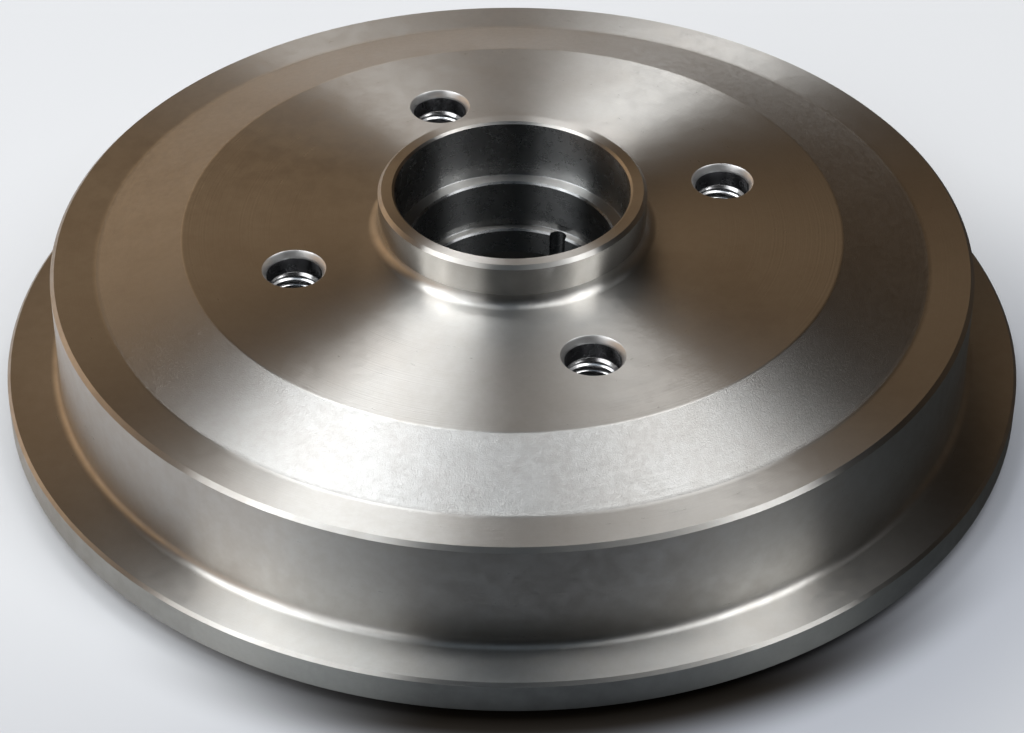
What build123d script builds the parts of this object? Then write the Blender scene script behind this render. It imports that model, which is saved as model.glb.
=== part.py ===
from build123d import *
import os

# Brake drum with the wheel hub in one piece: one iron casting, turned all over where it fits or shows.
# Millimetres, +Z along the axle towards the wheel. The origin is on the axle's line, in the plane of the
# open rim that the drum rests on.

# ---- Driving dimensions ----

# Shoe space and the ring round it
friction_radius = 90.0
friction_length = 28.0
wall_thickness = 11.6
web_thickness = 7.0
web_rise = 3.4
lip_height = 2.5
lip_width = 8.5
flange_width = 11.6
flange_thickness = 7.4

# Outer face, from the wheel face down to the turned land at the drum's corner
land_width = 10.1
crown_rise = 5.9
face_margin = 22.4

# Wheel spigot and the bore for the outer bearing and its cap
spigot_height = 9.7
spigot_wall = 3.6
ledge_width = 3.2
cap_depth = 14.1
outer_race_radius = 22.62
outer_race_depth = 12.1
shoulder_step = 1.4

# Inner bearing, oil seal and the boss that holds them
boss_recess = 1.5
boss_wall = 6.5
seal_step = 1.4
seal_depth = 4.5
inner_race_radius = 29.57
inner_race_depth = 12.0

# Relief groove in the corner of the outer race seat, and the two drift notches between the seats
groove_depth = 0.7
groove_height = 2.2
notch_radius = 2.0
notch_count = 2
notch_angle = 61.0

# Wheel bolts: four tapped holes with a clear lead under a flared mouth
bolt_circle_radius = 50.0
bolt_count = 4
bolt_angle = 19.72
thread_diameter = 12.0
thread_pitch = 1.5
lead_clearance = 0.05
lead_depth = 5.2
mouth_flare = 0.9
mouth_depth = 1.6
pad_thickness = 16.0
pad_margin = 12.0

# Broken edges, and the corners left full where the casting turns inwards
spigot_chamfer = 0.8
cap_chamfer = 0.5
race_chamfer = 0.4
rib_chamfer = 0.4
seal_chamfer = 1.0
face_chamfer = 0.4
corner_chamfer = 0.9
flange_chamfer = 0.7
entry_chamfer = 1.0
spigot_fillet = 2.4
wall_root = 1.4
boss_root = 2.5
pad_edge = 2.0

# ---- Sizes that follow ----

tolerance = 0.001
overrun = 1.0
minor_diameter_ratio = 1.0825

lip_radius = friction_radius + lip_width
wall_radius = friction_radius + wall_thickness
flange_radius = wall_radius + flange_width
land_radius = wall_radius - land_width
face_radius = bolt_circle_radius + face_margin
pad_radius = bolt_circle_radius + pad_margin

rib_bore_radius = outer_race_radius - shoulder_step
cap_bore_radius = outer_race_radius + ledge_width
spigot_radius = cap_bore_radius + spigot_wall
seal_radius = inner_race_radius + seal_step
boss_radius = seal_radius + boss_wall

land_z = friction_length + web_thickness
face_z = land_z + crown_rise
nose_z = face_z + spigot_height
web_z = friction_length + web_rise
pad_z = face_z - pad_thickness
flange_z = lip_height + flange_thickness

ledge_z = nose_z - cap_depth
outer_shoulder_z = ledge_z - outer_race_depth
boss_z = boss_recess
seal_ledge_z = boss_z + seal_depth
inner_shoulder_z = seal_ledge_z + inner_race_depth
rib_width = outer_shoulder_z - inner_shoulder_z

tap_radius = (thread_diameter - minor_diameter_ratio * thread_pitch) / 2
lead_radius = thread_diameter / 2 + lead_clearance
mouth_radius = lead_radius + mouth_flare
lead_cone = lead_radius - tap_radius
nose_down = (Align.CENTER, Align.CENTER, Align.MAX)


def rings(part, *places):
    """Turned edges of a part, each named by its radius and height."""
    circles = part.edges().filter_by(GeomType.CIRCLE)

    def named(edge):
        return any(
            abs(edge.radius - radius) < tolerance and abs(edge.arc_center.Z - height) < tolerance
            for radius, height in places
        )

    return circles.filter_by(named)


with BuildPart() as brake_drum:
    # Outside of the casting, from the open rim up over the flange, wall and crown to the hub's nose
    with BuildSketch(Plane.XZ):
        with BuildLine():
            Polyline(
                (0, 0),
                (lip_radius, 0),
                (lip_radius, lip_height),
                (flange_radius, lip_height),
                (flange_radius, flange_z),
                (wall_radius, flange_z),
                (wall_radius, land_z),
                (land_radius, land_z),
                (face_radius, face_z),
                (spigot_radius, face_z),
                (spigot_radius, nose_z),
                (0, nose_z),
                close=True,
            )
        make_face()
    revolve(axis=Axis.Z)

    # Shoe space: the ring between the friction face and the bearing boss, under the web and the bolt pad
    with BuildSketch(Plane.XZ):
        with BuildLine():
            Polyline(
                (0, -overrun),
                (0, boss_z),
                (boss_radius, boss_z),
                (boss_radius, pad_z),
                (pad_radius, pad_z),
                (pad_radius, web_z),
                (friction_radius, friction_length),
                (friction_radius, -overrun),
                close=True,
            )
        make_face()
    revolve(axis=Axis.Z, mode=Mode.SUBTRACT)

    # Stepped bore: cap, outer race, rib, inner race and oil seal
    with BuildSketch(Plane.XZ):
        with BuildLine():
            Polyline(
                (0, nose_z + overrun),
                (cap_bore_radius, nose_z + overrun),
                (cap_bore_radius, ledge_z),
                (outer_race_radius, ledge_z),
                (outer_race_radius, outer_shoulder_z + groove_height),
                (outer_race_radius + groove_depth, outer_shoulder_z + groove_height),
                (outer_race_radius + groove_depth, outer_shoulder_z),
                (rib_bore_radius, outer_shoulder_z),
                (rib_bore_radius, inner_shoulder_z),
                (inner_race_radius, inner_shoulder_z),
                (inner_race_radius, seal_ledge_z),
                (seal_radius, seal_ledge_z),
                (seal_radius, -overrun),
                (0, -overrun),
                close=True,
            )
        make_face()
    revolve(axis=Axis.Z, mode=Mode.SUBTRACT)

    # Corners left full: the spigot's blend for the wheel to seat over, and the casting's inner corners
    fillet(rings(brake_drum.part, (spigot_radius, face_z)), spigot_fillet)
    chamfer(rings(brake_drum.part, (wall_radius, flange_z)), wall_root)
    chamfer(rings(brake_drum.part, (boss_radius, pad_z)), boss_root)
    chamfer(rings(brake_drum.part, (pad_radius, pad_z)), pad_edge)

    # Turned edges, broken
    chamfer(rings(brake_drum.part, (spigot_radius, nose_z)), spigot_chamfer)
    chamfer(rings(brake_drum.part, (cap_bore_radius, nose_z)), cap_chamfer)
    chamfer(rings(brake_drum.part, (outer_race_radius, ledge_z), (inner_race_radius, seal_ledge_z)), race_chamfer)
    chamfer(rings(brake_drum.part, (rib_bore_radius, outer_shoulder_z)), rib_chamfer)
    chamfer(rings(brake_drum.part, (seal_radius, boss_z)), seal_chamfer)
    chamfer(rings(brake_drum.part, (face_radius, face_z)), face_chamfer)
    chamfer(rings(brake_drum.part, (wall_radius, land_z)), corner_chamfer)
    chamfer(rings(brake_drum.part, (flange_radius, flange_z)), flange_chamfer)
    chamfer(rings(brake_drum.part, (friction_radius, 0)), entry_chamfer)

    # Drift notches through the rib, so that a punch reaches the back of either race
    with BuildSketch(Plane.XY.offset(inner_shoulder_z)):
        with PolarLocations(rib_bore_radius, notch_count, start_angle=notch_angle):
            Circle(notch_radius)
    extrude(amount=rib_width, mode=Mode.SUBTRACT)

    # Wheel bolt holes: tapped bore with a clear lead, a flared mouth, and cones where the thread begins
    with Locations(Plane.XY.offset(face_z)):
        with PolarLocations(bolt_circle_radius, bolt_count, start_angle=bolt_angle):
            CounterBoreHole(radius=tap_radius, counter_bore_radius=lead_radius, counter_bore_depth=lead_depth)
            Cone(lead_radius, mouth_radius, mouth_depth, align=nose_down, mode=Mode.SUBTRACT)
    with Locations(Plane.XY.offset(face_z - lead_depth)):
        with PolarLocations(bolt_circle_radius, bolt_count, start_angle=bolt_angle):
            Cone(tap_radius, lead_radius, lead_cone, align=nose_down, mode=Mode.SUBTRACT)

brake_drum.part.label = "brake_drum"
os.makedirs("parts", exist_ok=True)
export_step(brake_drum.part, "parts/brake_drum.step")
print(f"rib between the seats {rib_width:.2f} mm")
print(f"height {nose_z:.2f} mm, diameter {2 * flange_radius:.2f} mm")
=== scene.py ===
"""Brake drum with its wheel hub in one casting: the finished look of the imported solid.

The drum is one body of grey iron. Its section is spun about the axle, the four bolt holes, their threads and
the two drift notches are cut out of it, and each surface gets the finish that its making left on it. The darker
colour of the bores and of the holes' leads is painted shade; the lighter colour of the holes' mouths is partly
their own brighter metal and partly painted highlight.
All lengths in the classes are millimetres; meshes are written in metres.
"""

import logging
import math
from dataclasses import dataclass, field
from enum import Enum
from typing import ClassVar

import bmesh
import bpy
from mathutils import Matrix, Vector


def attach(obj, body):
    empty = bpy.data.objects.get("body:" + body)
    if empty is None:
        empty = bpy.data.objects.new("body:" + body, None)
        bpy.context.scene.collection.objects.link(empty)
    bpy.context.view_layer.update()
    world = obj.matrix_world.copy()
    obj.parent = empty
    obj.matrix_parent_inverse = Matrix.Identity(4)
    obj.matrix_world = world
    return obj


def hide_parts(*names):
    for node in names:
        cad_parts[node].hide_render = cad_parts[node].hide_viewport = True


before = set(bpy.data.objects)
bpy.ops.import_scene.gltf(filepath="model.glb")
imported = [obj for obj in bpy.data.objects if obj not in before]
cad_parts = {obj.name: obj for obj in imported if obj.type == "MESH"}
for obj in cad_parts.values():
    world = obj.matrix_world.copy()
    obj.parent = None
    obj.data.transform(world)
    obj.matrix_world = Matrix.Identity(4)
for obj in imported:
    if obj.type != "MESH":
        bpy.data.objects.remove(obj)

LOG = logging.getLogger("brake_drum")
MM = 0.001
NODE = "brake_drum"
SHARP_ANGLE = math.radians(28.0)

Colour = tuple[float, float, float]
Span = tuple[float, float]


class Surface(Enum):
    """The surfaces of the drum, by how each was made. The value is the material's place on the mesh."""

    TURNED = 0
    CROWN = 1
    BORED = 2
    THREAD = 3
    RIM_EDGE = 4
    RAW_CAST = 5
    GROUND = 6
    MOUTH = 7
    LEAD = 8


@dataclass(frozen=True)
class Corner:
    """One corner of a turned section.

    Attributes:
        radius: distance from the axis.
        height: height above the open rim.
        cut: how far along both sides the corner is blended or broken; 0 leaves it sharp.
        steps: 1 for a chamfer, more for a rounded blend.
    """

    radius: float
    height: float
    cut: float = 0.0
    steps: int = 1


@dataclass(frozen=True)
class Turner:
    """Makes closed turned bodies from sections, and keeps the mesh work in one place.

    Attributes:
        around: steps in a full turn.
        weld: distance in metres within which doubled vertices are merged.
    """

    around: int
    weld: float = 2e-7

    def section(
        self, bm: bmesh.types.BMesh, corners: list[Corner], centre: Vector
    ) -> list[bmesh.types.BMEdge]:
        """Draws a section as a polygon on the XZ plane and blends its corners.

        Args:
            bm: mesh to draw in.
            corners: the section's corners in order.
            centre: where the axis stands, in metres.

        Returns:
            The section's edges.
        """
        verts = [bm.verts.new(centre + Vector((c.radius, 0.0, c.height)) * MM) for c in corners]
        bm.faces.new(verts)
        groups: dict[tuple[float, int], list[bmesh.types.BMVert]] = {}
        for corner, vert in zip(corners, verts):
            if corner.cut > 0.0:
                groups.setdefault((corner.cut, corner.steps), []).append(vert)
        for (cut, steps), group in groups.items():
            bmesh.ops.bevel(
                bm,
                geom=group,
                offset=cut * MM,
                offset_type="OFFSET",
                segments=steps,
                profile=0.5,
                affect="VERTICES",
                clamp_overlap=False,
                material=-1,
            )
        for face in list(bm.faces):
            bm.faces.remove(face)
        return list(bm.edges)

    def spun(
        self, name: str, corners: list[Corner], centre: Vector = Vector((0.0, 0.0, 0.0))
    ) -> bpy.types.Object:
        """Spins a section right round and returns the closed body.

        Args:
            name: the object's name.
            corners: the section's corners.
            centre: where the axis stands, in metres.

        Returns:
            The new object.
        """
        bm = bmesh.new()
        edges = self.section(bm, corners, centre)
        bmesh.ops.spin(
            bm,
            geom=edges + list(bm.verts),
            cent=centre,
            axis=(0.0, 0.0, 1.0),
            dvec=(0.0, 0.0, 0.0),
            angle=math.tau,
            steps=self.around,
            use_merge=True,
            use_duplicate=False,
        )
        return self.closed(name, bm)

    def helix(
        self, name: str, corners: list[Corner], centre: Vector, pitch: float, turns: int
    ) -> bpy.types.Object:
        """Winds a small section up a helix and caps both ends.

        Args:
            name: the object's name.
            corners: the section's corners.
            centre: where the axis stands, in metres.
            pitch: rise of a turn in millimetres.
            turns: number of whole turns.

        Returns:
            The new object.
        """
        bm = bmesh.new()
        edges = self.section(bm, corners, centre)
        bmesh.ops.spin(
            bm,
            geom=edges + list(bm.verts),
            cent=centre,
            axis=(0.0, 0.0, 1.0),
            dvec=(0.0, 0.0, pitch * MM / self.around),
            angle=math.tau * turns,
            steps=self.around * turns,
            use_merge=False,
            use_duplicate=False,
        )
        rims = [edge for edge in bm.edges if edge.is_boundary]
        bmesh.ops.holes_fill(bm, edges=rims, sides=len(corners))
        return self.closed(name, bm)

    def closed(self, name: str, bm: bmesh.types.BMesh) -> bpy.types.Object:
        """Merges doubles, turns the normals outwards and makes an object of a mesh.

        Args:
            name: the object's name.
            bm: mesh to finish; it is freed.

        Returns:
            The new object, linked to the scene.
        """
        bmesh.ops.remove_doubles(bm, verts=list(bm.verts), dist=self.weld)
        bmesh.ops.recalc_face_normals(bm, faces=list(bm.faces))
        mesh = bpy.data.meshes.new(name)
        bm.to_mesh(mesh)
        bm.free()
        made = bpy.data.objects.new(name, mesh)
        bpy.context.scene.collection.objects.link(made)
        return made


def baked(piece: bpy.types.Object) -> None:
    """Applies all of a piece's modifiers to its mesh.

    Args:
        piece: object whose modifiers are applied.
    """
    graph = bpy.context.evaluated_depsgraph_get()
    mesh = bpy.data.meshes.new_from_object(piece.evaluated_get(graph))
    mesh.name = piece.name
    piece.modifiers.clear()
    piece.data = mesh


def cut_away(piece: bpy.types.Object, cutter: bpy.types.Object) -> None:
    """Cuts one closed body out of another and discards the cutter.

    Args:
        piece: object that is cut.
        cutter: object that is taken away from it.
    """
    cut = piece.modifiers.new("cut", "BOOLEAN")
    cut.operation = "DIFFERENCE"
    cut.solver = "EXACT"
    cut.object = cutter
    baked(piece)
    bpy.data.objects.remove(cutter, do_unlink=True)


@dataclass
class Threads:
    """Four bolt holes: flared mouth, plain lead, cone and a cut thread.

    Attributes:
        circle: radius of the circle the holes stand on.
        count: number of holes.
        first: turn of the first hole from X, in degrees.
        face: height of the wheel face, where the holes open.
        pad: height of the pad's end, where they come out.
        mouth: radius of the flared mouth.
        mouth_depth: depth of the flare.
        lead: radius of the plain lead.
        lead_depth: depth of the lead's end below the face.
        minor: radius of the thread's crests.
        major: radius of the thread's roots.
        pitch: rise of the thread in a turn.
        flank: lean of the thread's flanks, in degrees.
        root_share: half the flat at the thread's root, as a share of the pitch.
        reach: how far the groove's tool reaches inside the crests.
        over: how far the tools reach past both faces.
        clear: how much wider than the mouth the tool is above the face.
        skim: height of the tool's wide part above the face.
        roll: how the flare's depth grows with its share of the width.
        bunch: how closely the flare's corners crowd at the rolled edge.
        bore_around: steps round a hole.
        thread_around: steps in a turn of the thread.
    """

    circle: float = 50.0
    count: int = 4
    first: float = 19.72
    face: float = 40.9
    pad: float = 24.9
    mouth: float = 6.95
    mouth_depth: float = 1.6
    lead: float = 6.05
    lead_depth: float = 5.2
    minor: float = 5.19
    major: float = 6.0
    pitch: float = 1.5
    flank: float = 30.0
    root_share: float = 1 / 16
    reach: float = 0.2
    over: float = 1.0
    clear: float = 0.6
    skim: float = 0.001
    roll: float = 1.35
    bunch: float = 2.0
    bore_around: int = 48
    thread_around: int = 36

    def places(self) -> list[Vector]:
        """Returns the holes' axes, in metres."""
        step = math.tau / self.count
        start = math.radians(self.first)
        spin = [start + step * i for i in range(self.count)]
        return [Vector((math.cos(a), math.sin(a), 0.0)) * self.circle * MM for a in spin]

    def lip(self, steps: int = 8) -> list[Corner]:
        """Returns the rolled edge of a hole's mouth, from the face down into the lead.

        Args:
            steps: corners on the way down.
        """
        wide = self.mouth - self.lead
        shares = [(i / steps) ** self.bunch for i in range(steps + 1)]
        return [Corner(self.mouth - wide * s, self.face - self.mouth_depth * s**self.roll) for s in shares]

    def bore(self) -> list[Corner]:
        """Returns the section of the tool that opens a hole, without the thread."""
        top = self.face + self.over
        bottom = self.pad - self.over
        shoulder = self.face - self.lead_depth
        return [
            Corner(0.0, top),
            Corner(self.mouth + self.clear, top),
            Corner(self.mouth + self.clear, self.face + self.skim),
            *self.lip(),
            Corner(self.lead, shoulder, cut=0.2, steps=2),
            Corner(self.minor, shoulder - (self.lead - self.minor), cut=0.12),
            Corner(self.minor, bottom),
            Corner(0.0, bottom),
        ]

    def groove(self, start: float) -> list[Corner]:
        """Returns the section of the thread's groove, sixty degrees between its flanks.

        Args:
            start: height of the groove's middle at the first turn.
        """
        inner = self.minor - self.reach
        root = self.pitch * self.root_share
        mouth = root + (self.major - inner) * math.tan(math.radians(self.flank))
        return [
            Corner(inner, start - mouth),
            Corner(self.major, start - root),
            Corner(self.major, start + root),
            Corner(inner, start + mouth),
        ]

    def cut(self, piece: bpy.types.Object) -> None:
        """Cuts the holes and their threads into the casting.

        Args:
            piece: the spun casting.
        """
        drill = Turner(self.bore_around)
        for number, place in enumerate(self.places()):
            cut_away(piece, drill.spun(f"bolt_bore_{number}", self.bore(), place))
        tap = Turner(self.thread_around)
        low = self.pad - self.over
        turns = math.ceil((self.face - self.lead_depth - low) / self.pitch) + 1
        for number, place in enumerate(self.places()):
            groove = tap.helix(f"thread_groove_{number}", self.groove(low), place, self.pitch, turns)
            cut_away(piece, groove)


@dataclass
class Notches:
    """Half-round drift notches through the rib between the bearing seats.

    Attributes:
        rib_radius: radius of the rib's bore, where the notches' axes stand.
        radius: radius of a notch.
        angle: turn of the first notch from X, in degrees.
        count: number of notches.
        bottom: height of the rib's lower face.
        top: height of the rib's upper face.
        over: how far the tool reaches past both faces.
        around: steps round a notch.
    """

    rib_radius: float = 21.22
    radius: float = 2.0
    angle: float = 61.0
    count: int = 2
    bottom: float = 18.0
    top: float = 24.4
    over: float = 0.8
    around: int = 32

    def cut(self, piece: bpy.types.Object) -> None:
        """Cuts the notches into the casting.

        Args:
            piece: the spun casting.
        """
        cutter = Turner(self.around)
        high, low = self.top + self.over, self.bottom - self.over
        section = [Corner(0.0, high), Corner(self.radius, high), Corner(self.radius, low), Corner(0.0, low)]
        step = math.tau / self.count
        for number in range(self.count):
            turn = math.radians(self.angle) + step * number
            place = Vector((math.cos(turn), math.sin(turn), 0.0)) * self.rib_radius * MM
            cut_away(piece, cutter.spun(f"drift_notch_{number}", section, place))


class Graph:
    """A small writer of shader nodes for one node tree.

    Attributes:
        MIX_FACTOR: place of a Mix node's factor among its inputs.
        MIX_FIRST: place of its first colour.
        MIX_SECOND: place of its second colour.
        MIX_RESULT: place of its colour among its outputs.
    """

    MIX_FACTOR = 0
    MIX_FIRST = 6
    MIX_SECOND = 7
    MIX_RESULT = 2

    def __init__(self, tree: bpy.types.NodeTree) -> None:
        """Keeps the tree it writes to.

        Args:
            tree: node tree to fill.
        """
        self.tree = tree

    def node(self, kind: str, **settings: object) -> bpy.types.Node:
        """Adds a node and sets its properties.

        Args:
            kind: the node's type name.
            settings: properties to set on it.

        Returns:
            The node.
        """
        made = self.tree.nodes.new(kind)
        for name, value in settings.items():
            setattr(made, name, value)
        return made

    def join(self, source: bpy.types.NodeSocket, target: bpy.types.NodeSocket) -> None:
        """Links an output to an input."""
        self.tree.links.new(source, target)

    def put(self, socket: bpy.types.NodeSocket, value: object) -> None:
        """Sets an input from a value or a socket.

        Args:
            socket: the input.
            value: a number, a vector, a colour or an output socket.
        """
        if isinstance(value, bpy.types.NodeSocket):
            self.join(value, socket)
        else:
            socket.default_value = value

    def maths(
        self, operation: str, first: object, second: object, third: object = 0.0
    ) -> bpy.types.NodeSocket:
        """Adds a Math node.

        Args:
            operation: its operation.
            first: first value or socket.
            second: second value or socket.
            third: third value or socket.

        Returns:
            Its output.
        """
        made = self.node("ShaderNodeMath", operation=operation)
        for place, value in enumerate((first, second, third)):
            self.put(made.inputs[place], value)
        return made.outputs[0]

    def spread(
        self, value: bpy.types.NodeSocket, span: Span, start: float, end: float
    ) -> bpy.types.NodeSocket:
        """Maps a value from one range to another, smoothly and clamped.

        Args:
            value: socket to map.
            span: where on the value the change starts and ends.
            start: result before the span.
            end: result past the span.

        Returns:
            The mapped output.
        """
        made = self.node("ShaderNodeMapRange", interpolation_type="SMOOTHSTEP")
        for place, item in enumerate((value, *span, start, end)):
            self.put(made.inputs[place], item)
        return made.outputs[0]

    def rise(self, value: bpy.types.NodeSocket, span: Span) -> bpy.types.NodeSocket:
        """Returns a mask that is 0 before the span and 1 past it."""
        return self.spread(value, span, 0.0, 1.0)

    def fall(self, value: bpy.types.NodeSocket, span: Span) -> bpy.types.NodeSocket:
        """Returns a mask that is 1 before the span and 0 past it."""
        return self.spread(value, span, 1.0, 0.0)

    def both(self, first: object, second: object) -> bpy.types.NodeSocket:
        """Returns one value times another, which is where both masks are 1."""
        return self.maths("MULTIPLY", first, second)

    def axes(self, vector: bpy.types.NodeSocket) -> list[bpy.types.NodeSocket]:
        """Returns a vector's three numbers."""
        split = self.node("ShaderNodeSeparateXYZ")
        self.join(vector, split.inputs[0])
        return list(split.outputs)

    def length(self, vector: bpy.types.NodeSocket) -> bpy.types.NodeSocket:
        """Returns a vector's length."""
        made = self.node("ShaderNodeVectorMath", operation="LENGTH")
        self.join(vector, made.inputs[0])
        return made.outputs["Value"]

    def mix(self, factor: object, first: object, second: object) -> bpy.types.NodeSocket:
        """Mixes two colours.

        Args:
            factor: how much of the second.
            first: first colour or socket.
            second: second colour or socket.

        Returns:
            The mixed colour.
        """
        made = self.node("ShaderNodeMix", data_type="RGBA")
        self.put(made.inputs[self.MIX_FACTOR], factor)
        for place, shade in ((self.MIX_FIRST, first), (self.MIX_SECOND, second)):
            self.put(made.inputs[place], (*shade, 1.0) if isinstance(shade, tuple) else shade)
        return made.outputs[self.MIX_RESULT]

    def noise(
        self, vector: bpy.types.NodeSocket, scale: float, detail: float, rough: float
    ) -> bpy.types.NodeSocket:
        """Adds a 3D noise.

        Args:
            vector: coordinates.
            scale: repeats to the metre.
            detail: octaves.
            rough: strength of the finer octaves.

        Returns:
            The noise value.
        """
        made = self.node("ShaderNodeTexNoise", noise_dimensions="3D")
        self.join(vector, made.inputs["Vector"])
        made.inputs["Scale"].default_value = scale
        made.inputs["Detail"].default_value = detail
        made.inputs["Roughness"].default_value = rough
        return made.outputs[0]


class Effects:
    """Node groups that more than one finish uses.

    Attributes:
        RING_REPEATS: lathe rings to the metre.
        RING_DETAIL: octaves of the rings.
        CLOUDS: for each noise its repeats to the metre, its octaves and the strength of the finer ones.
    """

    RING_REPEATS = 2600.0
    RING_DETAIL = 5.0
    CLOUDS = {"Cloud": (38.0, 4.0, 0.55), "Mottle": (330.0, 5.0, 0.65), "Specks": (1500.0, 3.0, 0.7)}

    @staticmethod
    def group(
        name: str, numbers: dict[str, float], outputs: list[str]
    ) -> tuple[bpy.types.NodeTree, bpy.types.Node, bpy.types.Node]:
        """Makes an empty shader node group with its sockets.

        Args:
            name: the group's name.
            numbers: inputs by name with their defaults.
            outputs: names of the value outputs.

        Returns:
            The group's tree, its input node and its output node.
        """
        tree = bpy.data.node_groups.new(name, "ShaderNodeTree")
        for key, value in numbers.items():
            socket = tree.interface.new_socket(name=key, in_out="INPUT", socket_type="NodeSocketFloat")
            socket.default_value = value
        for key in outputs:
            tree.interface.new_socket(name=key, in_out="OUTPUT", socket_type="NodeSocketFloat")
        return tree, tree.nodes.new("NodeGroupInput"), tree.nodes.new("NodeGroupOutput")

    @classmethod
    def lathe_marks(cls) -> bpy.types.NodeTree:
        """Makes the rings that a lathe tool leaves, which depend on radius and height alone.

        Returns:
            A group that takes Fine, the repeats to the metre, and puts out Rings.
        """
        tree, source, result = cls.group("lathe_marks", {"Fine": cls.RING_REPEATS}, ["Rings"])
        graph = Graph(tree)
        across, back, up = graph.axes(graph.node("ShaderNodeTexCoord").outputs["Object"])
        flat = graph.node("ShaderNodeCombineXYZ")
        graph.join(across, flat.inputs[0])
        graph.join(back, flat.inputs[1])
        way = graph.maths("ADD", graph.length(flat.outputs[0]), up)
        rings = graph.node("ShaderNodeTexNoise", noise_dimensions="1D")
        graph.join(graph.both(way, source.outputs["Fine"]), rings.inputs["W"])
        rings.inputs["Scale"].default_value = 1.0
        rings.inputs["Detail"].default_value = cls.RING_DETAIL
        graph.join(rings.outputs[0], result.inputs["Rings"])
        return tree

    @classmethod
    def iron_cloud(cls) -> bpy.types.NodeTree:
        """Makes the uneven tone of bare iron: a broad cloud, a fine mottle and small specks.

        Returns:
            A group that puts out Cloud, Mottle and Specks.
        """
        tree, source, result = cls.group("iron_cloud", {"Size": 1.0}, list(cls.CLOUDS))
        graph = Graph(tree)
        sized = graph.node("ShaderNodeVectorMath", operation="SCALE")
        graph.join(graph.node("ShaderNodeTexCoord").outputs["Object"], sized.inputs[0])
        graph.join(source.outputs["Size"], sized.inputs["Scale"])
        for name, (repeats, detail, rough) in cls.CLOUDS.items():
            graph.join(graph.noise(sized.outputs[0], repeats, detail, rough), result.inputs[name])
        return tree


@dataclass(frozen=True)
class Finish:
    """A finish of bare iron.

    Attributes:
        name: the material's name.
        colour: linear base colour.
        worn: linear colour of its darker patches.
        roughness: its middle roughness.
        mottle: how much of the darker colour the mottle lets through.
        mottle_gloss: how much the mottle changes the roughness.
        grain: anisotropy of the lathe's lines; 0 on cast skin.
        rings: depth of the lathe rings in millimetres.
        rings_gloss: how much the rings change the roughness.
        pits: depth of the cast skin's grain in millimetres.
        size: how much finer than usual the mottle is.
    """

    name: str
    colour: Colour
    worn: Colour
    roughness: float
    mottle: float
    mottle_gloss: float
    grain: float = 0.0
    rings: float = 0.0
    rings_gloss: float = 0.0
    pits: float = 0.0
    size: float = 1.0

    PATCH_SPAN: ClassVar[Span] = (0.38, 0.68)
    FINE_SPAN: ClassVar[Span] = (0.3, 0.7)
    PATCH_SHARE: ClassVar[float] = 0.55
    FINE_SHARE: ClassVar[float] = 0.45
    MIDDLE: ClassVar[float] = 0.5
    ACROSS_THE_GRAIN: ClassVar[float] = 0.25

    def material(self, marks: bpy.types.NodeTree, cloud: bpy.types.NodeTree) -> bpy.types.Material:
        """Writes the material.

        Args:
            marks: the lathe_marks group.
            cloud: the iron_cloud group.

        Returns:
            The new material.
        """
        made = bpy.data.materials.new(self.name)
        made.use_nodes = True
        graph = Graph(made.node_tree)
        shader = made.node_tree.nodes["Principled BSDF"]
        lathe = graph.node("ShaderNodeGroup", node_tree=marks)
        iron = graph.node("ShaderNodeGroup", node_tree=cloud)
        iron.inputs["Size"].default_value = self.size
        patch = graph.rise(iron.outputs["Cloud"], self.PATCH_SPAN)
        fine = graph.rise(iron.outputs["Mottle"], self.FINE_SPAN)
        tone = graph.maths("ADD", graph.both(patch, self.PATCH_SHARE), graph.both(fine, self.FINE_SHARE))
        colour = graph.mix(graph.both(tone, self.mottle), self.colour, self.worn)
        graph.join(colour, shader.inputs["Base Color"])
        shader.inputs["Metallic"].default_value = 1.0
        rings = graph.maths("SUBTRACT", lathe.outputs["Rings"], self.MIDDLE)
        gloss = graph.maths("MULTIPLY_ADD", rings, self.rings_gloss, self.roughness)
        swirl = graph.maths("SUBTRACT", fine, self.MIDDLE)
        rough = graph.maths("MULTIPLY_ADD", swirl, self.mottle_gloss, gloss)
        graph.join(rough, shader.inputs["Roughness"])
        shader.inputs["Anisotropic"].default_value = self.grain
        if self.grain > 0.0:
            shader.inputs["Anisotropic Rotation"].default_value = self.ACROSS_THE_GRAIN
            turning = graph.node("ShaderNodeTangent", direction_type="RADIAL", axis="Z")
            graph.join(turning.outputs[0], shader.inputs["Tangent"])
        ring_height = graph.both(rings, self.rings * MM)
        specks = graph.maths("SUBTRACT", iron.outputs["Specks"], self.MIDDLE)
        height = graph.maths("MULTIPLY_ADD", specks, self.pits * MM, ring_height)
        bump = graph.node("ShaderNodeBump")
        bump.inputs["Strength"].default_value = 1.0
        bump.inputs["Distance"].default_value = 1.0
        graph.join(height, bump.inputs["Height"])
        graph.join(bump.outputs[0], shader.inputs["Normal"])
        return made


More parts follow.
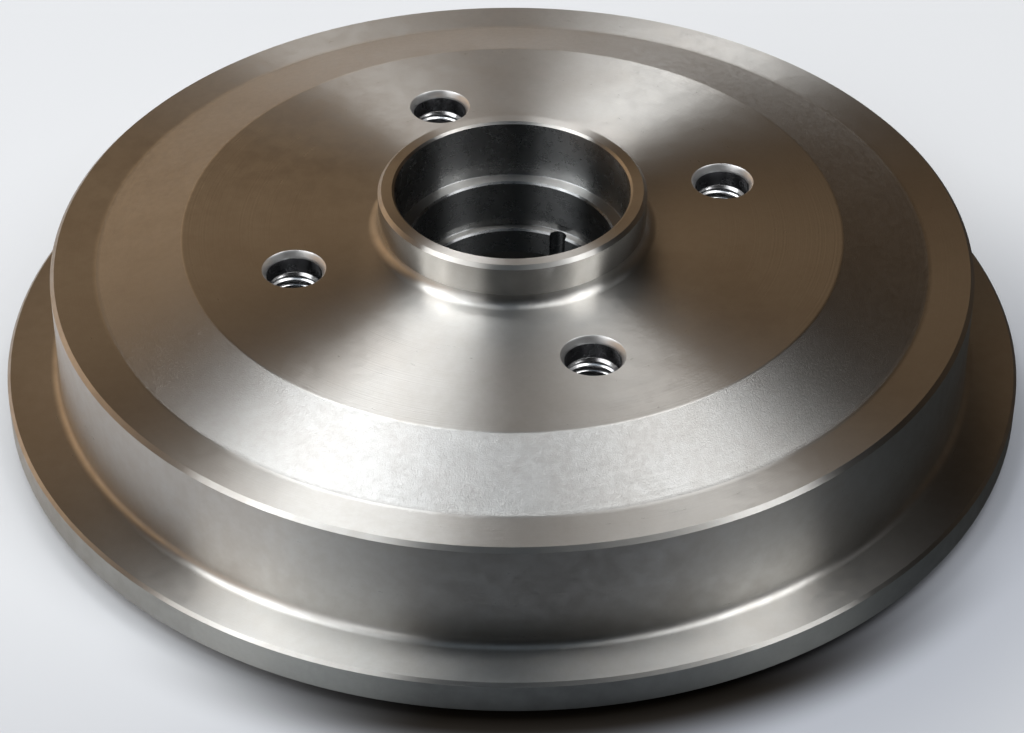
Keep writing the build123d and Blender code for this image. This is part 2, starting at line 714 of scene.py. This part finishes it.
FINISHES = {
    Surface.TURNED: Finish(
        name="turned_iron",
        colour=(0.49, 0.487, 0.472),
        worn=(0.385, 0.355, 0.325),
        roughness=0.31,
        mottle=0.60,
        mottle_gloss=0.05,
        grain=1.0,
        rings=0.018,
        rings_gloss=0.06,
    ),
    Surface.CROWN: Finish(
        name="crown_iron",
        colour=(0.41, 0.408, 0.40),
        worn=(0.315, 0.295, 0.272),
        roughness=0.34,
        mottle=0.40,
        mottle_gloss=0.06,
        grain=0.90,
        rings=0.008,
        rings_gloss=0.05,
        pits=0.042,
        size=2.0,
    ),
    # The bores' base colour is darker than the turned iron's: painted shade that keeps the bores dark.
    Surface.BORED: Finish(
        name="bored_iron_with_painted_shade",
        colour=(0.30, 0.308, 0.315),
        worn=(0.19, 0.193, 0.197),
        roughness=0.28,
        mottle=0.70,
        mottle_gloss=0.04,
        grain=1.0,
        rings=0.001,
        rings_gloss=0.03,
    ),
    Surface.THREAD: Finish(
        name="threaded_iron",
        colour=(0.62, 0.62, 0.63),
        worn=(0.40, 0.40, 0.41),
        roughness=0.24,
        mottle=0.40,
        mottle_gloss=0.06,
    ),
    Surface.RIM_EDGE: Finish(
        name="rim_edge_iron",
        colour=(0.40, 0.415, 0.405),
        worn=(0.29, 0.30, 0.295),
        roughness=0.38,
        mottle=0.70,
        mottle_gloss=0.06,
        grain=1.0,
        rings=0.003,
        rings_gloss=0.10,
        pits=0.006,
    ),
    Surface.RAW_CAST: Finish(
        name="raw_cast_iron",
        colour=(0.20, 0.195, 0.19),
        worn=(0.10, 0.095, 0.09),
        roughness=0.62,
        mottle=0.80,
        mottle_gloss=0.12,
        pits=0.10,
    ),
    Surface.GROUND: Finish(
        name="ground_iron",
        colour=(0.54, 0.53, 0.51),
        worn=(0.42, 0.40, 0.37),
        roughness=0.16,
        mottle=0.60,
        mottle_gloss=0.05,
        grain=0.9,
        rings=0.002,
        rings_gloss=0.05,
    ),
    # The mouth's base colour is lighter than any other iron here: partly its own brighter metal, partly painted
    # highlight on the rolled edge.
    Surface.MOUTH: Finish(
        name="countersunk_iron_with_painted_highlight",
        colour=(0.68, 0.68, 0.68),
        worn=(0.52, 0.52, 0.52),
        roughness=0.45,
        mottle=0.30,
        mottle_gloss=0.06,
    ),
    # The leads' near-black base colour is painted shade in the bolt holes.
    Surface.LEAD: Finish(
        name="drilled_iron_with_painted_shade",
        colour=(0.15, 0.15, 0.155),
        worn=(0.09, 0.09, 0.095),
        roughness=0.28,
        mottle=0.60,
        mottle_gloss=0.06,
    ),
}


@dataclass(frozen=True)
class Sorting:
    """Margins by which the casting's faces are sorted into surfaces.

    A level is the steepest that a face's normal may stand and still belong to a wall; 1 is a flat face. All the
    other margins are in millimetres.

    Attributes:
        hole: past the radius of a hole's mouth.
        hole_level: level of a hole's walls.
        mouth: above the end of a hole's flare.
        lead: above the end of a hole's lead.
        crown_inside: from the wheel face's edge to the sandy crown.
        crown_outside: past the land's inner edge.
        crown_lift: above the land.
        edge: inside the flange's edge.
        edge_break: below the flange's top, where the broken corner starts.
        bore: past the radius of the cap's bore.
        bore_level: level of the bores' walls.
        spigot: past the spigot's radius.
        spigot_root: above the wheel face, where the spigot's rounded root ends.
        spigot_level: level of the spigot's wall.
        cast_inside: from the seal's bore to the raw skin.
        cast_outside: inside the friction ring's bore.
        cast_lift: above the web's underside.
    """

    hole: float = 0.01
    hole_level: float = 0.97
    mouth: float = 0.2
    lead: float = 0.1
    crown_inside: float = 0.35
    crown_outside: float = 0.2
    crown_lift: float = 0.02
    edge: float = 0.05
    edge_break: float = 0.65
    bore: float = 0.1
    bore_level: float = 0.9
    spigot: float = 0.05
    spigot_root: float = 2.4
    spigot_level: float = 0.2
    cast_inside: float = 1.5
    cast_outside: float = 0.1
    cast_lift: float = 0.1


@dataclass
class Drum:
    """The casting itself, turned where it fits or shows.

    Its sizes are radii from the axis, or heights above the open rim where the name has height, top, bottom,
    end or ledge in it. Depth, the friction ring's length, and nose, the spigot's top, are heights too.

    Attributes:
        threads: the bolt holes.
        notches: the drift notches.
        sorting: margins that tell the surfaces apart.
        finishes: the finish of each surface.
        around: steps round the axis.
        weld: distance in metres within which doubled vertices are merged after the cuts.
        even: weight that the large faces have in the shading.
    """

    threads: Threads = field(default_factory=Threads)
    notches: Notches = field(default_factory=Notches)
    sorting: Sorting = field(default_factory=Sorting)
    finishes: dict[Surface, Finish] = field(default_factory=lambda: dict(FINISHES))
    around: int = 256
    weld: float = 1e-6
    even: int = 80
    friction: float = 90.0
    depth: float = 28.0
    lip: float = 98.5
    lip_height: float = 2.5
    flange: float = 113.2
    flange_top: float = 9.9
    wall: float = 101.6
    land: float = 91.5
    land_height: float = 35.0
    face: float = 72.4
    face_height: float = 40.9
    spigot: float = 29.42
    nose: float = 50.6
    cap: float = 25.82
    ledge: float = 36.5
    outer_seat: float = 22.62
    groove: float = 23.32
    groove_top: float = 26.6
    rib: float = 21.22
    rib_top: float = 24.4
    rib_bottom: float = 18.0
    inner_seat: float = 29.57
    seal: float = 30.97
    seal_ledge: float = 6.0
    boss: float = 37.47
    boss_end: float = 1.5
    pad: float = 62.0
    pad_end: float = 24.9
    web_end: float = 31.4

    def section(self) -> list[Corner]:
        """Returns the drum's whole section, from the rim round the outside and back through the bore."""
        return [
            Corner(self.friction, 0.0, cut=1.0),
            Corner(self.lip, 0.0, cut=0.3, steps=2),
            Corner(self.lip, self.lip_height, cut=0.3, steps=2),
            Corner(self.flange, self.lip_height, cut=0.5, steps=3),
            Corner(self.flange, self.flange_top, cut=0.7),
            Corner(self.wall, self.flange_top, cut=2.0, steps=8),
            Corner(self.wall, self.land_height, cut=0.9),
            Corner(self.land, self.land_height, cut=0.9, steps=4),
            Corner(self.face, self.face_height, cut=0.3),
            Corner(self.spigot, self.face_height, cut=2.4, steps=10),
            Corner(self.spigot, self.nose, cut=0.8),
            Corner(self.cap, self.nose, cut=0.5),
            Corner(self.cap, self.ledge, cut=0.3, steps=3),
            Corner(self.outer_seat, self.ledge, cut=0.4),
            Corner(self.outer_seat, self.groove_top),
            Corner(self.groove, self.groove_top, cut=0.3, steps=3),
            Corner(self.groove, self.rib_top, cut=0.3, steps=3),
            Corner(self.rib, self.rib_top, cut=0.4),
            Corner(self.rib, self.rib_bottom, cut=0.2),
            Corner(self.inner_seat, self.rib_bottom, cut=0.4, steps=3),
            Corner(self.inner_seat, self.seal_ledge, cut=0.4),
            Corner(self.seal, self.seal_ledge, cut=0.3, steps=3),
            Corner(self.seal, self.boss_end, cut=1.0),
            Corner(self.boss, self.boss_end, cut=0.8, steps=3),
            Corner(self.boss, self.pad_end, cut=3.2, steps=6),
            Corner(self.pad, self.pad_end, cut=2.0, steps=5),
            Corner(self.pad, self.web_end, cut=2.0, steps=5),
            Corner(self.friction, self.depth, cut=0.6, steps=3),
        ]

    def surface(self, middle: Vector, normal: Vector) -> Surface:
        """Says which surface a face belongs to.

        Args:
            middle: the face's centre, in metres.
            normal: the face's normal.

        Returns:
            The surface.
        """
        radius = math.hypot(middle.x, middle.y) / MM
        height = middle.z / MM
        level = abs(normal.z)
        by = self.sorting
        flat = Vector((middle.x, middle.y, 0.0))
        hole = min((flat - place).length for place in self.threads.places()) / MM
        if hole < self.threads.mouth + by.hole and level < by.hole_level:
            depth = self.face_height - height
            if depth < self.threads.mouth_depth - by.mouth:
                return Surface.MOUTH
            return Surface.LEAD if depth < self.threads.lead_depth - by.lead else Surface.THREAD
        on_crown = self.face + by.crown_inside < radius < self.land + by.crown_outside
        if on_crown and height > self.land_height + by.crown_lift:
            return Surface.CROWN
        if radius > self.flange - by.edge and height < self.flange_top - by.edge_break:
            return Surface.RIM_EDGE
        if radius < self.cap + by.bore and height > self.rib_bottom and level < by.bore_level:
            return Surface.BORED
        on_spigot = radius < self.spigot + by.spigot and height > self.face_height + by.spigot_root
        if on_spigot and level < by.spigot_level:
            return Surface.GROUND
        on_web = self.seal + by.cast_inside < radius < self.friction - by.cast_outside
        if on_web and height < self.web_end + by.cast_lift:
            return Surface.RAW_CAST
        return Surface.TURNED

    def build(self) -> bpy.types.Object:
        """Builds the casting, cuts its holes and sorts its faces by surface.

        Returns:
            The finished mesh object, without materials.
        """
        piece = Turner(self.around).spun("drum_casting", self.section())
        LOG.info("spun casting: %d faces", len(piece.data.polygons))
        self.notches.cut(piece)
        self.threads.cut(piece)
        LOG.info("holes cut: %d faces", len(piece.data.polygons))
        bm = bmesh.new()
        bm.from_mesh(piece.data)
        bmesh.ops.remove_doubles(bm, verts=list(bm.verts), dist=self.weld)
        for face in bm.faces:
            face.smooth = True
            face.material_index = self.surface(face.calc_center_median(), face.normal).value
        for edge in bm.edges:
            edge.smooth = len(edge.link_faces) == 2 and edge.calc_face_angle(0.0) < SHARP_ANGLE
        bm.to_mesh(piece.data)
        bm.free()
        even = piece.modifiers.new("even_normals", "WEIGHTED_NORMAL")
        even.keep_sharp = True
        even.weight = self.even
        baked(piece)
        return piece

    def dress(self, piece: bpy.types.Object) -> None:
        """Gives the casting its finishes, one material for each surface.

        Args:
            piece: the casting, with its faces sorted by surface.
        """
        marks = Effects.lathe_marks()
        cloud = Effects.iron_cloud()
        slots = piece.data.materials
        for surface in Surface:
            made = self.finishes[surface].material(marks, cloud)
            if surface.value < len(slots):
                slots[surface.value] = made
            else:
                slots.append(made)
        LOG.info("dressed in %d finishes", len(slots))


@dataclass(frozen=True)
class Panel:
    """A flat soft lamp that hangs level over the table.

    Attributes:
        name: its name.
        centre: its middle, in metres.
        turn: its long side's turn from X about the vertical, in degrees.
        size: its long and its short side, in metres.
        glow: how bright its face is.
        colour: its linear colour.
    """

    WATTS_FOR_AREA: ClassVar[float] = 4.0

    name: str
    centre: tuple[float, float, float]
    turn: float
    size: tuple[float, float]
    glow: float
    colour: Colour

    def hang(self) -> bpy.types.Object:
        """Makes the lamp, facing down.

        Returns:
            The lamp.
        """
        data = bpy.data.lights.new(self.name, "AREA")
        data.shape = "RECTANGLE"
        data.size, data.size_y = self.size
        data.energy = self.glow * self.WATTS_FOR_AREA * self.size[0] * self.size[1]
        data.color = self.colour
        lamp = bpy.data.objects.new(self.name, data)
        bpy.context.scene.collection.objects.link(lamp)
        lamp.location = self.centre
        lamp.rotation_euler = (0.0, 0.0, math.radians(self.turn))
        return lamp


@dataclass(frozen=True)
class Table:
    """The plain table that the drum rests on, with the painted shade that the drum and the room give it: a
    painted shadow of the drum, a painted contact shadow under the flange, painted shade nearest the viewer, and
    painted shade that the metal mirrors.

    A span says where a change starts and where it ends, in metres. Away is the distance from the axis, back the
    way from the viewer, across the way to the right, and side is across less back.

    Attributes:
        half: half its width.
        colour: its linear colour.
        painted_shadow_colour: colour of the painted shadow where the drum keeps the light off the table.
        shade_colour: colour right under the flange's edge, at the front right.
        reflected_shade_colour: colour of the painted shade that the metal mirrors in place of the table's
            paint.
        painted_shadow_away: span of the painted shadow outwards.
        painted_shadow_side: span of the painted shadow to the front right.
        shade_away: span of the contact shade outwards.
        shade_side: span of the contact shade to the front right.
        shade_back: span of the contact shade backwards.
        near_shade_back: span of the painted shade nearest the viewer.
        near_shade_share: how much of painted_shadow_colour the painted shade nearest the viewer takes.
        reflected_shade_back: span backwards of the painted shade that the metal mirrors.
        reflected_shade_away: span outwards from under the drum of the painted shade that the metal mirrors.
        reflected_shade_across: span to the right of the painted shade that the metal mirrors.
        roughness: its roughness.
        specular: its specular level.
    """

    half: float = 3.0
    colour: Colour = (0.76, 0.78, 0.81)
    painted_shadow_colour: Colour = (0.45, 0.47, 0.52)
    shade_colour: Colour = (0.012, 0.009, 0.006)
    reflected_shade_colour: Colour = (0.035, 0.04, 0.042)
    painted_shadow_away: Span = (0.12, 0.18)
    painted_shadow_side: Span = (0.03, 0.16)
    shade_away: Span = (0.1155, 0.129)
    shade_side: Span = (0.0, 0.10)
    shade_back: Span = (-0.105, -0.06)
    near_shade_back: Span = (-0.17, -0.04)
    near_shade_share: float = 0.5
    reflected_shade_back: Span = (-0.155, -0.115)
    reflected_shade_away: Span = (0.09, 0.10)
    reflected_shade_across: Span = (0.02, 0.13)
    roughness: float = 0.7
    specular: float = 0.2

    def paint(self) -> bpy.types.Material:
        """Writes the table's paint, with its painted shade and the painted shade that the metal mirrors.

        Returns:
            The new material.
        """
        made = bpy.data.materials.new("table_paint")
        made.use_nodes = True
        graph = Graph(made.node_tree)
        shader = made.node_tree.nodes["Principled BSDF"]
        place = graph.node("ShaderNodeTexCoord").outputs["Object"]
        across, back, _ = graph.axes(place)
        away = graph.length(place)
        side = graph.maths("SUBTRACT", across, back)
        # Painted shadow: the table is darker where the drum keeps the light off it, to the front right.
        painted_shadow = graph.both(graph.fall(away, self.painted_shadow_away), graph.rise(side, self.painted_shadow_side))
        # Painted shade: the table is darker nearest the viewer.
        near = graph.spread(back, self.near_shade_back, self.near_shade_share, 0.0)
        shade = graph.both(graph.fall(away, self.shade_away), graph.rise(side, self.shade_side))
        shade = graph.both(shade, graph.fall(back, self.shade_back))
        tone = graph.mix(painted_shadow, self.colour, self.painted_shadow_colour)
        tone = graph.mix(near, tone, self.painted_shadow_colour)
        tone = graph.mix(shade, tone, self.shade_colour)
        # Painted reflection of shade: glossy rays see a dark colour in front, under the drum and on the right,
        # in place of the table's paint.
        front = graph.maths("MAXIMUM", graph.fall(back, self.reflected_shade_back), graph.fall(away, self.reflected_shade_away))
        reflected_shade_area = graph.maths("MAXIMUM", front, graph.rise(across, self.reflected_shade_across))
        reflected_shade_mask = graph.both(reflected_shade_area, graph.node("ShaderNodeLightPath").outputs["Is Glossy Ray"])
        graph.join(graph.mix(reflected_shade_mask, tone, self.reflected_shade_colour), shader.inputs["Base Color"])
        shader.inputs["Roughness"].default_value = self.roughness
        shader.inputs["Specular IOR Level"].default_value = self.specular
        return made

    def build(self) -> bpy.types.Object:
        """Makes the table and paints it.

        Returns:
            The table's mesh object.
        """
        bm = bmesh.new()
        bmesh.ops.create_grid(bm, x_segments=1, y_segments=1, size=self.half)
        mesh = bpy.data.meshes.new("table")
        bm.to_mesh(mesh)
        bm.free()
        mesh.materials.append(self.paint())
        made = bpy.data.objects.new("table", mesh)
        bpy.context.scene.collection.objects.link(made)
        return made


@dataclass(frozen=True)
class Room:
    """The room that the metal mirrors, dark but for a few soft parts.

    A span says between which parts of a direction a change runs: across is to the right, back is away from the
    viewer, and up is straight up.

    Attributes:
        dark: linear colour of what isn't lit.
        back_left: colour low at the back on the left.
        back_right: colour low at the back on the right.
        back_across: span from the one to the other.
        back_deep: span of the back wall backwards.
        back_up: span upwards where the back wall ends.
        wall: colour of the warm wall on the left.
        wall_across: span of the wall to the left.
        wall_up: span upwards where the wall ends.
        rise: colour high at the back.
        rise_up: span of that upwards.
        rise_back: span of that backwards.
        above: colour overhead.
        above_up: span of that upwards.
        glow: colour of the soft glow at the front left.
        glow_way: direction of the glow's middle.
        glow_near: span of the nearness to the middle, 1 being the middle itself.
    """

    dark: Colour = (0.0, 0.0, 0.0)
    back_left: Colour = (0.69, 0.47, 0.285)
    back_right: Colour = (0.066, 0.043, 0.025)
    back_across: Span = (-0.15, 0.25)
    back_deep: Span = (-0.2, 0.6)
    back_up: Span = (0.35, 0.75)
    wall: Colour = (1.3, 0.8, 0.42)
    wall_across: Span = (-0.9, -0.6)
    wall_up: Span = (0.1, 0.3)
    rise: Colour = (0.42, 0.42, 0.42)
    rise_up: Span = (0.70, 0.84)
    rise_back: Span = (0.1, 0.4)
    above: Colour = (0.26, 0.32, 0.38)
    above_up: Span = (0.90, 1.0)
    glow: Colour = (2.4, 2.4, 2.4)
    glow_way: tuple[float, float, float] = (-0.572, -0.572, 0.588)
    glow_near: Span = (0.93, 0.985)

    def build(self) -> None:
        """Paints the world: warm at the back and the left, cool above, a glow front left, dark in front."""
        world = bpy.data.worlds.new("room")
        bpy.context.scene.world = world
        world.use_nodes = True
        graph = Graph(world.node_tree)
        sky = world.node_tree.nodes["Background"]
        way = graph.node("ShaderNodeTexCoord").outputs["Generated"]
        across, back, up = graph.axes(way)
        toward = graph.node("ShaderNodeVectorMath", operation="DOT_PRODUCT")
        graph.join(way, toward.inputs[0])
        toward.inputs[1].default_value = self.glow_way
        warm = graph.mix(graph.rise(across, self.back_across), self.back_left, self.back_right)
        deep = graph.both(graph.rise(back, self.back_deep), graph.fall(up, self.back_up))
        left = graph.both(graph.fall(across, self.wall_across), graph.fall(up, self.wall_up))
        high = graph.both(graph.rise(up, self.rise_up), graph.rise(back, self.rise_back))
        near = graph.rise(toward.outputs["Value"], self.glow_near)
        colour = graph.mix(deep, self.dark, warm)
        colour = graph.mix(left, colour, self.wall)
        colour = graph.mix(high, colour, self.rise)
        colour = graph.mix(graph.rise(up, self.above_up), colour, self.above)
        colour = graph.mix(near, colour, self.glow)
        graph.join(colour, sky.inputs["Color"])
        sky.inputs["Strength"].default_value = 1.0


@dataclass
class Studio:
    """Table, soft lamps, room and camera.

    Attributes:
        table: the table.
        room: the room.
        panels: the lamps.
        sensor: width of the camera's sensor, in millimetres.
        lens: the camera's focal length, in millimetres.
        clip: how near and how far the camera sees, in metres.
        camera_place: where the camera stands, in metres.
        camera_tilt: how far it is tipped up from straight down, in degrees.
        camera_roll: its turn about its own axis, in degrees.
    """

    table: Table = field(default_factory=Table)
    room: Room = field(default_factory=Room)
    panels: tuple[Panel, ...] = (
        Panel("window_panel", (-0.76, -0.09, 1.14), 33.0, (1.40, 0.50), 3.95, (0.97, 0.99, 1.0)),
        Panel("skylight_panel", (-0.19, 0.62, 1.14), 0.0, (0.24, 0.20), 7.0, (0.98, 0.99, 1.0)),
        Panel("room_panel", (0.73, -0.16, 1.14), -35.0, (1.40, 0.50), 3.3, (0.99, 0.99, 0.985)),
    )
    sensor: float = 36.0
    lens: float = 107.55
    clip: Span = (0.01, 50.0)
    camera_place: tuple[float, float, float] = (0.0, -0.5496, 0.4301)
    camera_tilt: float = 52.03
    camera_roll: float = 0.13

    def camera(self) -> None:
        """Sets the camera."""
        data = bpy.data.cameras.new("camera")
        data.sensor_width = self.sensor
        data.lens = self.lens
        data.clip_start, data.clip_end = self.clip
        made = bpy.data.objects.new("camera", data)
        bpy.context.scene.collection.objects.link(made)
        made.location = self.camera_place
        tilt = Matrix.Rotation(math.radians(self.camera_tilt), 4, "X")
        roll = Matrix.Rotation(math.radians(self.camera_roll), 4, "Z")
        made.rotation_euler = (tilt @ roll).to_euler()
        bpy.context.scene.camera = made

    def build(self) -> None:
        self.table.build()
        for panel in self.panels:
            panel.hang()
        self.room.build()
        self.camera()
        bpy.context.scene.view_settings.view_transform = "Standard"


def main() -> None:
    """Builds the drum in the frame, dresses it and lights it."""
    logging.basicConfig(level=logging.INFO)
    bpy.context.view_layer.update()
    drum = Drum()
    piece = drum.build()
    drum.dress(piece)
    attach(piece, "root")
    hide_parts(NODE)
    LOG.info("piece %s: %d faces", piece.name, len(piece.data.polygons))
    Studio().build()


if __name__ == "__main__":
    main()
